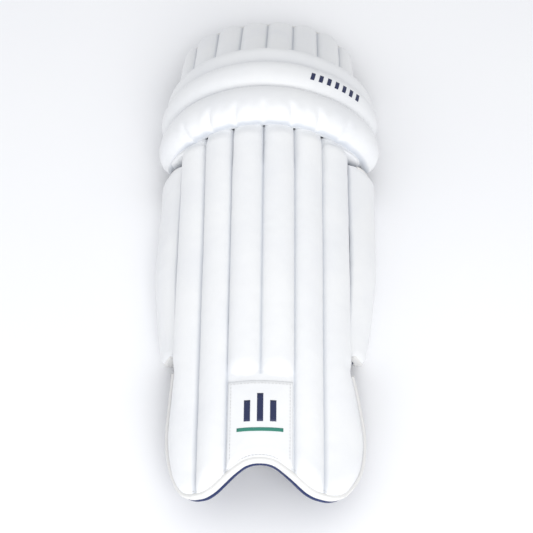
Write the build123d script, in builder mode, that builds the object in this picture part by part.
"""Cricket leg pad for a batter's left leg, lying on its back with the foot end towards -Y.

The shin panel is the root. The knee rolls fold on its top seam, the top flap folds on the knee
rolls, and the two side wings fold on its side seams. Three straps swing from the inner side, and
a ring hangs opposite each one. Lengths are in millimetres. A station is the distance along +Y
from the lowest point of the foot end, and a depth is measured inwards from a sewn line.
"""

import os
from math import cos, hypot, radians, sin

from build123d import *

os.makedirs("parts", exist_ok=True)

# ---------------------------------------------------------------- driving dimensions
FOOT_END = 7.0  # station of the foot lobes' tips
TOP_END = 694.0  # station of the top flap's tip
SHIN_LENGTH = 452.0  # foot end to the seam under the knee rolls
FOOT_CROWN = 82.0  # height of the middle seam at the foot end
KNEE_CROWN = 123.0  # height of the middle seam under the knee rolls
FOOT_ARCH = 0.75  # share of the knee's arch that is left at the foot end

SKIN = 1.4  # coated cover cloth
CLOTH = 1.0  # lining cloth
BOARD = 3.0  # stiff backing under the bolsters
SLACK = 0.4  # room between neighbouring layers
BINDING = 5.0  # width of the bound edge

# Sewn lines of the shin panel from its middle outwards: distance from the middle, drop from the crown.
SHIN_SEAMS = ((0.0, 0.0), (36.5, 6.5), (68.0, 24.0), (95.0, 51.0), (118.0, 76.7))
RISES = (3.0, 11.0, 11.0, 11.0, 11.0, 11.0, 11.0, 3.0)  # swell of each channel and edge strip
BOLSTER_DEPTH = 8.6
SIDE_SEAM = 97.0  # where the shin panel stops and the wings start
TOP_LEAN = 14.0  # the shin panel's top end leans by this, to leave room for the knee to fold
TOP_STATION = 448.0

# Foot end of the plan outline, from the middle of the instep notch round a lobe to the waist.
INNER_LOBE = ((0, 39.5), (18, 36), (38, 22), (64, 7), (86, 18), (99, 46), (105, 84), (103, 130), (102, 162))
OUTER_LOBE = ((0, 39.5), (18, 36), (38, 22), (67, 7), (93, 18), (109, 47), (114, 85), (108, 130), (102, 162))
INSTEP_HALF = 36.5
INSTEP_TOP = 135.0
INSTEP_RISE = 4.0

CANE_RADIUS = 3.0
CANE_PITCH = 9.0
CANE_TOP = 425.0

WING_FOOT = 184.0
WING_TOP = 438.0
WING_CORNER = 34.0
WING_WALL = ((176.0, 100.5), (221.0, 103.5), (300.0, 108.0))  # stations, and distances of the inside face
WING_RIM = 10.0
WING_MIDDLE = 40.0  # height of the widest line of a wing
WING_EDGE = 98.5  # where a wing starts, beside the shin panel
# Station and reach of the widest line, foot end to knee end.
WINGS = {
    "inner": (-1, ((176.0, 107.0), (221.0, 114.0), (300.0, 124.0), (444.0, 121.5))),
    "outer": (1, ((176.0, 106.5), (221.0, 113.5), (300.0, 126.0), (444.0, 129.0))),
}

# Each knee roll: station, height of its centre, radius to its middle, half width, half depth.
ROLLS = {
    "lower": (476.5, 13.5, 117.0, 24.0, 17.5),
    "middle": (521.0, 11.0, 117.0, 19.6, 17.0),
    "upper": (558.5, -1.0, 113.5, 17.0, 15.5),
}
ROLL_SWEEP = 82.0  # half of the arc that a roll covers, in degrees
KNEE_ENDS = ((454.0, 13.0), (574.0, -4.0))  # station and centre height of the knee hoop's ends
KNEE_HOOP = 97.4

FLAP_BASE = 577.5
FLAP_TIP = 694.0
FLAP_CROWNS = (105.0, 31.0)
FLAP_ARCH = 0.45  # share of the arch that is left at the tip
FLAP_LEAN = 8.0
FLAP_SEAMS = ((0.0, 0.0), (33.0, 4.3), (64.0, 17.0), (91.0, 38.0), (113.0, 64.0))
FLAP_RISE = 7.5
FLAP_DEPTH = 6.6
FLAP_EDGE = ((0, 694), (38, 690), (72, 676), (96, 651), (107, 620), (110, 585))

STRAP_WIDTH = 38.0
STRAP_THICK = 2.2
TAPE_THICK = 1.2
# Each strap: station, where it folds (x and height), where it ends.
STRAPS = {
    "knee": (372.0, -100.0, 3.2, 88.0),
    "calf": (240.0, -96.0, 3.2, 84.0),
    "ankle": (105.0, -82.0, 32.0, 60.0),
}
RING_WIRE = 1.75
RING_SPAN = 42.0
RING_DROP = 15.5
RING_BORE = 1.8
WING_RING = (4.4, 22.0)  # distance in from the wing's wall, and height
ANKLE_RING = (80.0, 39.0)


def at(station):
    """Y of a station: the origin is under the middle of the pad's length."""
    return station - (FOOT_END + TOP_END) / 2


def across(station):
    """The upright plane across the pad at a station. Its x is X and its y is Z."""
    return Plane.XZ.offset(-at(station))


def finish(part, name):
    """Labels a piece and writes its file."""
    part.label = name
    export_step(part, f"parts/{name}.step")
    print(name, len(part.solids()), round(part.volume))


# ---------------------------------------------------------------- quilted layers
FLAT = (0,) * 8


def behind(points, depth):
    """The points moved inwards, square to the line through their neighbours."""
    moved = []
    for i, (x, z) in enumerate(points):
        before, after = points[max(i - 1, 0)], points[min(i + 1, len(points) - 1)]
        run = hypot(after[0] - before[0], after[1] - before[1])
        moved.append((x + (after[1] - before[1]) / run * depth, z - (after[0] - before[0]) / run * depth))
    return moved


def narrowed(points, gap):
    """Two points brought towards each other, each by the gap."""
    (xa, za), (xb, zb) = points
    share = gap / hypot(xb - xa, zb - za)
    return [(xa + (xb - xa) * share, za + (zb - za) * share), (xb - (xb - xa) * share, zb - (zb - za) * share)]


def quilted_edge(points, rises):
    """Joins points by arcs of the given rises on the left of their path, or by lines where they are 0."""
    for (xa, za), (xb, zb), rise in zip(points, points[1:], rises):
        if rise == 0:
            Line((xa, za), (xb, zb))
        else:
            share = rise / hypot(xb - xa, zb - za)
            middle = ((xa + xb) / 2 - (zb - za) * share, (za + zb) / 2 + (xb - xa) * share)
            ThreePointArc((xa, za), middle, (xb, zb))


def layer(sections, outer, inner, rises=FLAT, back_rises=FLAT):
    """A solid lofted through (plane, seam points) sections, between two depths behind the seams."""
    with BuildPart() as made:
        for plane, points in sections:
            front, back = behind(points, outer), behind(points, inner)
            with BuildSketch(plane):
                with BuildLine():
                    quilted_edge(front, rises)
                    quilted_edge(back, back_rises)
                    Line(front[0], back[0])
                    Line(front[-1], back[-1])
                make_face()
        loft(ruled=True)
    return made.part


def rounded_plan(inner_edge, outer_edge, top, inset=0.0):
    """A plan outline brought in by an amount: for each side, its edge's points and a straight run to the top."""
    halves = []
    for side, edge in ((-1, inner_edge), (1, outer_edge)):
        onward = 1 if top > edge[-1][1] else -1
        (xa, sa), (xb, sb) = edge[1], edge[-1]
        points = behind([(-xa, sa), *edge, (xb, sb + 20 * onward)], -onward * inset)[1:-1]
        with BuildSketch() as half:
            with BuildLine():
                places = [(side * x, at(s)) for x, s in points]
                round_end = Spline(*places, tangents=[(side, 0), (0, onward)])
                Line(round_end @ 1, (side * points[-1][0], at(top)))
                Line((side * points[-1][0], at(top)), (0, at(top)))
                Line((0, at(top)), round_end @ 0)
            make_face()
        halves.append(half.sketch)
    with BuildSketch() as plan:
        add(halves)
    return plan.sketch


# ---------------------------------------------------------------- shin panel
def shin_points(station):
    """The sewn lines across the shin panel at a station, from the inner side to the outer side."""
    crown = FOOT_CROWN + (KNEE_CROWN - FOOT_CROWN) * station / SHIN_LENGTH
    arch = FOOT_ARCH + (1 - FOOT_ARCH) * station / SHIN_LENGTH
    outer = [(x, crown - drop * arch) for x, drop in SHIN_SEAMS]
    return [(-x, z) for x, z in outer[:0:-1]] + outer


def shin_sections(first=0, last=8, gap=0.0, start=-6.0):
    """Foot-end and knee-end sections of the shin panel, of the seams first to last."""
    sections = []
    for station in (start, SHIN_LENGTH + 4):
        points = shin_points(station)[first : last + 1]
        sections.append((across(station), narrowed(points, gap) if gap else points))
    return sections


def side_height(station):
    """Height of the shin panel's front at the side seam."""
    (xa, za), (xb, zb) = shin_points(station)[7:9]
    return za + (zb - za) * (SIDE_SEAM - xa) / (xb - xa)


SHIN_TOP = Plane(
    origin=(0, at(TOP_STATION), KNEE_CROWN),
    x_dir=(1, 0, 0),
    z_dir=(0, cos(radians(TOP_LEAN)), -sin(radians(TOP_LEAN))),
)
SHIN_PLAN = rounded_plan(INNER_LOBE, OUTER_LOBE, SHIN_LENGTH + 20)
SHIN_PLAN_INSIDE = rounded_plan(INNER_LOBE, OUTER_LOBE, SHIN_LENGTH + 20, BINDING)
SHIN_PLAN_FILL = rounded_plan(INNER_LOBE, OUTER_LOBE, SHIN_LENGTH + 20, BINDING + 2.5)
BACK = BOLSTER_DEPTH + SLACK
LINING_BACK = BACK + BOARD + SLACK + CLOTH


def cut_instep(margin):
    """Cuts the instep panel's place out of the part in hand, with a margin."""
    height = INSTEP_TOP + margin + 40
    with Locations((0, at(INSTEP_TOP + margin - height / 2), 60)):
        Box(2 * (INSTEP_HALF + margin), height, 200, mode=Mode.SUBTRACT)


def bolster(number):
    """Foam filling of one upright channel, with bores for its canes."""
    with BuildPart() as made:
        add(layer(shin_sections(number, number + 1, gap=2.5), SKIN + 0.5, BOLSTER_DEPTH, (RISES[number] + 0.1,)))
        extrude(SHIN_PLAN_FILL, amount=200, mode=Mode.INTERSECT)
        if number in (3, 4):
            cut_instep(3.0)
        split(bisect_by=SHIN_TOP, keep=Keep.BOTTOM)
        for cane in canes(number, CANE_RADIUS + 0.2, 3.0):
            add(cane, mode=Mode.SUBTRACT)
    return made.part


def canes(number, radius, extra=0.0):
    """The three cane rods of a channel, running along it."""
    start = 150.0 if number in (3, 4) else 62.0
    rods = []
    for k in (-1, 0, 1):
        with BuildPart() as rod:
            for station in (start - extra, CANE_TOP + extra):
                (xa, za), (xb, zb) = behind(shin_points(station)[number : number + 2], 1.0)
                share = 0.5 + k * CANE_PITCH / hypot(xb - xa, zb - za)
                with BuildSketch(across(station)):
                    with Locations((xa + (xb - xa) * share, za + (zb - za) * share)):
                        Circle(radius)
            loft(ruled=True)
        rods.append(rod.part)
    return rods


for channel in range(1, 7):
    finish(bolster(channel), f"shin_bolster_{channel}")

with BuildPart() as cane_rods:
    for channel in range(1, 7):
        for cane in canes(channel, CANE_RADIUS):
            add(cane)
finish(cane_rods.part, "cane_rods")

with BuildPart() as shin_face:
    add(layer(shin_sections(), 0, SKIN, RISES, RISES))
    extrude(SHIN_PLAN_INSIDE, amount=200, mode=Mode.INTERSECT)
    cut_instep(0.4)
    split(bisect_by=SHIN_TOP, keep=Keep.BOTTOM)
finish(shin_face.part, "shin_face")

with BuildPart() as shin_board:
    add(layer(shin_sections(1, 7), BACK, BACK + BOARD))
    extrude(SHIN_PLAN_FILL, amount=200, mode=Mode.INTERSECT)
    split(bisect_by=SHIN_TOP, keep=Keep.BOTTOM)
finish(shin_board.part, "shin_board")

with BuildPart() as shin_lining:
    add(layer(shin_sections(), LINING_BACK - CLOTH, LINING_BACK))
    extrude(SHIN_PLAN_INSIDE, amount=200, mode=Mode.INTERSECT)
    split(bisect_by=SHIN_TOP, keep=Keep.BOTTOM)
finish(shin_lining.part, "shin_lining")

with BuildPart() as foot_binding:
    add(layer(shin_sections(start=-10.0), -1.5, LINING_BACK + 1.0))
    extrude(SHIN_PLAN, amount=200, mode=Mode.INTERSECT)
    extrude(SHIN_PLAN_INSIDE, amount=200, mode=Mode.SUBTRACT)
    split(bisect_by=across(WING_FOOT - 3), keep=Keep.TOP)
finish(foot_binding.part, "foot_binding")

instep_sections = [(across(s), [shin_points(s)[3], shin_points(s)[5]]) for s in (-6.0, INSTEP_TOP)]

with BuildPart() as instep_face:
    add(layer(instep_sections, 0, SKIN, (INSTEP_RISE,), (INSTEP_RISE,)))
    extrude(SHIN_PLAN_INSIDE, amount=200, mode=Mode.INTERSECT)
finish(instep_face.part, "instep_face")

with BuildPart() as instep_foam:
    add(layer(instep_sections, SKIN + SLACK, 4.5, (INSTEP_RISE,), (INSTEP_RISE - 1.5,)))
    extrude(SHIN_PLAN_FILL, amount=200, mode=Mode.INTERSECT)
finish(instep_foam.part, "instep_foam")

def shin_cushion(side, first):
    """One long cushion behind the shin lining."""
    with BuildPart() as made:
        add(layer(shin_sections(first, first + 1, gap=3.0), LINING_BACK + SLACK, LINING_BACK + 10))
        with BuildSketch(Plane.XY):
            with Locations((52 * side, at(310))):
                RectangleRounded(50, 230, 12)
        extrude(amount=200, mode=Mode.INTERSECT)
    return made.part


with BuildPart() as shin_cushions:
    add(shin_cushion(-1, 2))
    add(shin_cushion(1, 5))
finish(shin_cushions.part, "shin_cushions")


# ---------------------------------------------------------------- side wings
def wing_wall(station):
    """Distance of a wing's inside face from the middle, near its rim."""
    for (sa, wall_a), (sb, wall_b) in zip(WING_WALL, WING_WALL[1:]):
        if station <= sb:
            return wall_a + (wall_b - wall_a) * (station - sa) / (sb - sa)
    return WING_WALL[-1][1]


def wing_line(station, reach, where, inward):
    """Three points of a wing's outer or inner face at a station, brought into the wing by a distance."""
    height = side_height(station)
    if where == "outer":
        rim = wing_wall(station) + WING_RIM - inward
        return [(WING_EDGE, height - inward), (reach - inward, WING_MIDDLE), (rim, -6)]
    wall = wing_wall(station) + inward
    return [(WING_EDGE, height - 17 + inward), (wall, min(34.0, height - 21)), (wall, -6)]


def wing_layer(side, reaches, front, back):
    """A layer of a wing between two of its lines, each (outer or inner, distance into the wing)."""
    with BuildPart() as made:
        for station, reach in reaches:
            lines = [wing_line(station, reach, *line) for line in (front, back)]
            lines = [[(side * x, z) for x, z in line] for line in lines]
            with BuildSketch(across(station)):
                with BuildLine():
                    for (where, _), points in zip((front, back), lines):
                        if where == "outer":
                            ThreePointArc(*points)
                        else:
                            Polyline(*points)
                    Line(lines[0][0], lines[1][0])
                    Line(lines[0][-1], lines[1][-1])
                make_face()
        loft(ruled=True)
    return made.part


def wing_side(amount):
    """Side outline of a wing, brought in by an amount, as a solid that reaches across the pad."""
    with BuildPart() as made:
        with BuildSketch(Plane.YZ):
            with Locations((at((WING_FOOT + WING_TOP) / 2), 100 + amount)):
                Rectangle(WING_TOP - WING_FOOT - 2 * amount, 200)
        extrude(amount=200, both=True)
        fillet(made.edges().filter_by(Axis.X).group_by(Axis.Z)[0], WING_CORNER - amount)
    return made.part


for name, (side, reaches) in WINGS.items():
    with BuildPart() as wing_face:
        add(wing_layer(side, reaches, ("outer", 0), ("outer", SKIN)))
        add(wing_side(BINDING), mode=Mode.INTERSECT)
    finish(wing_face.part, f"{name}_wing_face")

    with BuildPart() as wing_foam:
        add(wing_layer(side, reaches, ("outer", SKIN + SLACK), ("inner", CLOTH + SLACK)))
        add(wing_side(BINDING + 2.5), mode=Mode.INTERSECT)
    finish(wing_foam.part, f"{name}_wing_foam")

    with BuildPart() as wing_lining:
        add(wing_layer(side, reaches, ("inner", 0), ("inner", CLOTH)))
        add(wing_side(BINDING), mode=Mode.INTERSECT)
    finish(wing_lining.part, f"{name}_wing_lining")

    with BuildPart() as wing_binding:
        add(wing_layer(side, reaches, ("outer", -1.2), ("inner", -1.2)))
        add(wing_side(0), mode=Mode.INTERSECT)
        add(wing_side(BINDING), mode=Mode.SUBTRACT)
    finish(wing_binding.part, f"{name}_wing_binding")


# ---------------------------------------------------------------- knee rolls
def roll(centre, station, radius, half_width, half_depth, sweep):
    """A padded arc over the knee, turned about a line along the leg at the given height."""
    start = radians(-sweep)
    plane = Plane(origin=(0, 0, centre), x_dir=(0, 1, 0), z_dir=(cos(start), 0, -sin(start)))
    with BuildPart() as made:
        with BuildSketch(plane):
            with Locations((at(station), radius)):
                Ellipse(half_width, half_depth)
        revolve(axis=Axis((0, 0, centre), (0, 1, 0)), revolution_arc=2 * sweep)
    return made.part


for name, (station, centre, radius, half_width, half_depth) in ROLLS.items():
    inside = roll(centre, station, radius, half_width - SKIN, half_depth - SKIN, ROLL_SWEEP - 1)
    with BuildPart() as roll_cover:
        add(roll(centre, station, radius, half_width, half_depth, ROLL_SWEEP))
        add(inside, mode=Mode.SUBTRACT)
    finish(roll_cover.part, f"{name}_roll_cover")

    stuffing = roll(centre, station, radius, half_width - SKIN - SLACK, half_depth - SKIN - SLACK, ROLL_SWEEP - 2)
    finish(stuffing, f"{name}_roll_stuffing")


def hoop(outside, thickness, low, high, ends=KNEE_ENDS):
    """A thin arched sheet under the knee rolls, between two turns in degrees from +X."""
    with BuildPart() as made:
        for station, centre in ends:
            with BuildSketch(across(station)):
                with BuildLine():
                    over = CenterArc((0, centre), outside, low, high - low)
                    under = CenterArc((0, centre), outside - thickness, low, high - low)
                    Line(over @ 0, under @ 0)
                    Line(over @ 1, under @ 1)
                make_face()
        loft(ruled=True)
    return made.part


KNEE_LINING = KNEE_HOOP - BOARD - SLACK
finish(hoop(KNEE_HOOP, BOARD, 14, 166), "knee_board")
finish(hoop(KNEE_LINING, CLOTH, 11, 169), "knee_lining")

with BuildPart() as knee_cushions:
    for turn in (38, 90, 142):
        add(hoop(KNEE_LINING - CLOTH - SLACK, 10.0, turn - 17, turn + 17, ((470.0, 10.73), (560.0, -2.02))))
    fillet(knee_cushions.edges().filter_by(lambda edge: edge.length < 12), 3.5)
finish(knee_cushions.part, "knee_cushions")


# ---------------------------------------------------------------- top flap
def flap_points(station):
    """The sewn lines across the top flap at a station, from the inner side to the outer side."""
    share = (station - FLAP_BASE) / (FLAP_TIP - FLAP_BASE)
    crown = FLAP_CROWNS[0] + (FLAP_CROWNS[1] - FLAP_CROWNS[0]) * share
    arch = 1 + (FLAP_ARCH - 1) * share
    outer = [(x, crown - drop * arch) for x, drop in FLAP_SEAMS]
    return [(-x, z) for x, z in outer[:0:-1]] + outer


def flap_sections(first=0, last=8, gap=0.0):
    """Base and tip sections of the flap, of the seams first to last."""
    sections = []
    for station in (FLAP_BASE - 4, FLAP_TIP + 6):
        points = flap_points(station)[first : last + 1]
        sections.append((across(station), narrowed(points, gap) if gap else points))
    return sections


FLAP_BASE_PLANE = Plane(
    origin=(0, at(FLAP_BASE), FLAP_CROWNS[0]),
    x_dir=(1, 0, 0),
    z_dir=(0, cos(radians(FLAP_LEAN)), sin(radians(FLAP_LEAN))),
)
FLAP_PLAN = rounded_plan(FLAP_EDGE, FLAP_EDGE, FLAP_BASE - 20)
FLAP_PLAN_INSIDE = rounded_plan(FLAP_EDGE, FLAP_EDGE, FLAP_BASE - 20, BINDING)
FLAP_PLAN_FILL = rounded_plan(FLAP_EDGE, FLAP_EDGE, FLAP_BASE - 20, BINDING + 2.5)
FLAP_RISES = (FLAP_RISE,) * 8
FLAP_BACK = FLAP_DEPTH + SLACK + CLOTH

with BuildPart() as flap_face:
    add(layer(flap_sections(), 0, SKIN, FLAP_RISES, FLAP_RISES))
    extrude(FLAP_PLAN_INSIDE, amount=200, mode=Mode.INTERSECT)
    split(bisect_by=FLAP_BASE_PLANE, keep=Keep.TOP)
finish(flap_face.part, "flap_face")

with BuildPart() as flap_filling:
    for channel in range(8):
        add(layer(flap_sections(channel, channel + 1, gap=2.2), SKIN + 0.5, FLAP_DEPTH, (FLAP_RISE + 0.1,)))
    extrude(FLAP_PLAN_FILL, amount=200, mode=Mode.INTERSECT)
    split(bisect_by=FLAP_BASE_PLANE, keep=Keep.TOP)
finish(flap_filling.part, "flap_filling")

with BuildPart() as flap_lining:
    add(layer(flap_sections(), FLAP_BACK - CLOTH, FLAP_BACK))
    extrude(FLAP_PLAN_INSIDE, amount=200, mode=Mode.INTERSECT)
    split(bisect_by=FLAP_BASE_PLANE, keep=Keep.TOP)
finish(flap_lining.part, "flap_lining")

with BuildPart() as flap_binding:
    add(layer(flap_sections(), -1.2, FLAP_BACK + 1.0))
    extrude(FLAP_PLAN, amount=200, mode=Mode.INTERSECT)
    extrude(FLAP_PLAN_INSIDE, amount=200, mode=Mode.SUBTRACT)
    split(bisect_by=FLAP_BASE_PLANE, keep=Keep.TOP)
finish(flap_binding.part, "flap_binding")


# ---------------------------------------------------------------- straps, anchors and rings
def bar(xa, xb, za, zb, station, width, corner=0.0):
    """A flat strip across the pad, with its far corners rounded in plan."""
    with BuildPart() as made:
        with Locations(((xa + xb) / 2, at(station), (za + zb) / 2)):
            Box(xb - xa, width, zb - za)
        if corner:
            fillet(made.edges().filter_by(Axis.Z).group_by(Axis.X)[-1], corner)
    return made.part


def on_lining(station, across_x, depth):
    """A point at a depth behind the shin lining, near its side, as (x, z)."""
    side = 1 if across_x > 0 else -1
    (xa, za), (xb, zb) = behind(shin_points(station), LINING_BACK + depth)[6:8]
    return (across_x, za + (zb - za) * (side * across_x - xa) / (xb - xa))


def prism(profiles, width, station):
    """A solid lofted between two profiles across the pad, on either side of a station."""
    with BuildPart() as made:
        for place, points in zip((station - width / 2, station + width / 2), profiles):
            with BuildSketch(across(place)):
                with BuildLine():
                    Polyline(*points, close=True)
                make_face()
        loft(ruled=True)
    return made.part


for name, (station, fold, height, tip) in STRAPS.items():
    under, over = height - STRAP_THICK / 2, height + STRAP_THICK / 2
    with BuildPart() as webbing:
        add(bar(fold, tip - 14, under, over, station, STRAP_WIDTH))
        with Locations((fold, at(station), height)):
            Cylinder(STRAP_THICK / 2, STRAP_WIDTH, rotation=(90, 0, 0))
    finish(webbing.part, f"{name}_strap")

    finish(bar(tip - 14, tip, under - 0.4, over + 0.4, station, STRAP_WIDTH, 12), f"{name}_strap_tip")
    tape = (under - TAPE_THICK, under, station, STRAP_WIDTH - 4)
    finish(bar(tip - 58, tip - 18, *tape), f"{name}_hook_tape")
    finish(bar(tip - 122, tip - 62, *tape), f"{name}_loop_tape")
    if name != "ankle":
        cushion = bar(fold + 22, fold + 118, over, over + 5.7, station, STRAP_WIDTH + 14, 0)
        finish(cushion, f"{name}_strap_cushion")

for name, (station, fold, height, tip) in STRAPS.items():
    width = STRAP_WIDTH - 2
    lip = [(fold - 1.3, height + 1.6), (fold - 2.6, height + 0.4)]
    if name == "ankle":
        profiles = []
        for place in (station - width / 2, station + width / 2):
            on = [on_lining(place, x, 0) for x in (-84, -72)]
            off = [on_lining(place, x, 2.2) for x in (-72, -80)]
            profiles.append(on[::-1] + [(fold - 2.6, height + 2.6), (fold + 0.2, height + 2.6)] + off[::-1])
    else:
        profiles = []
        for place in (station - width / 2, station + width / 2):
            wall = -wing_wall(place)
            profiles.append([(wall, 32), (wall + 2.4, 32), (wall + 2.4, 9), *lip, (wall, 8)])
    finish(prism(profiles, width, station), f"{name}_strap_anchor")


def ring(x, z, station):
    """A rectangular wire ring that hangs from its top bar."""
    half = RING_SPAN / 2 + RING_WIRE
    left, right, low = at(station) - half, at(station) + half, z - RING_DROP
    with BuildPart() as made:
        with BuildLine(Plane.YZ.offset(x)) as wire:
            FilletPolyline((left, z), (left, low), (right, low), (right, z), radius=4, close=True)
        with BuildSketch(Plane(origin=wire.wire() @ 0, z_dir=wire.wire() % 0)):
            Circle(RING_WIRE)
        sweep()
    return made.part


for name, (station, *_) in STRAPS.items():
    x, z = ANKLE_RING if name == "ankle" else (wing_wall(station) - WING_RING[0], WING_RING[1])
    finish(ring(x, z, station), f"{name}_ring")
    with BuildPart() as tab:
        if name == "ankle":
            profiles = []
            for place in (station - 17, station + 17):
                on = [on_lining(place, across_x, 0) for across_x in (70, 84)]
                off = [on_lining(place, across_x, 2.2) for across_x in (82, 71)]
                profiles.append(on + off)
            add(prism(profiles, 34, station))
        else:
            profiles = []
            for place in (station - 17, station + 17):
                wall = wing_wall(place)
                profiles.append([(wall, 13), (wall, 31), (wall - 2.4, 31), (wall - 2.4, 13)])
            add(prism(profiles, 34, station))
        with Locations((x, at(station), z)):
            Cylinder(3.4, 34, rotation=(90, 0, 0))
            Cylinder(RING_BORE, 60, rotation=(90, 0, 0), mode=Mode.SUBTRACT)
    finish(tab.part, f"{name}_ring_tab")
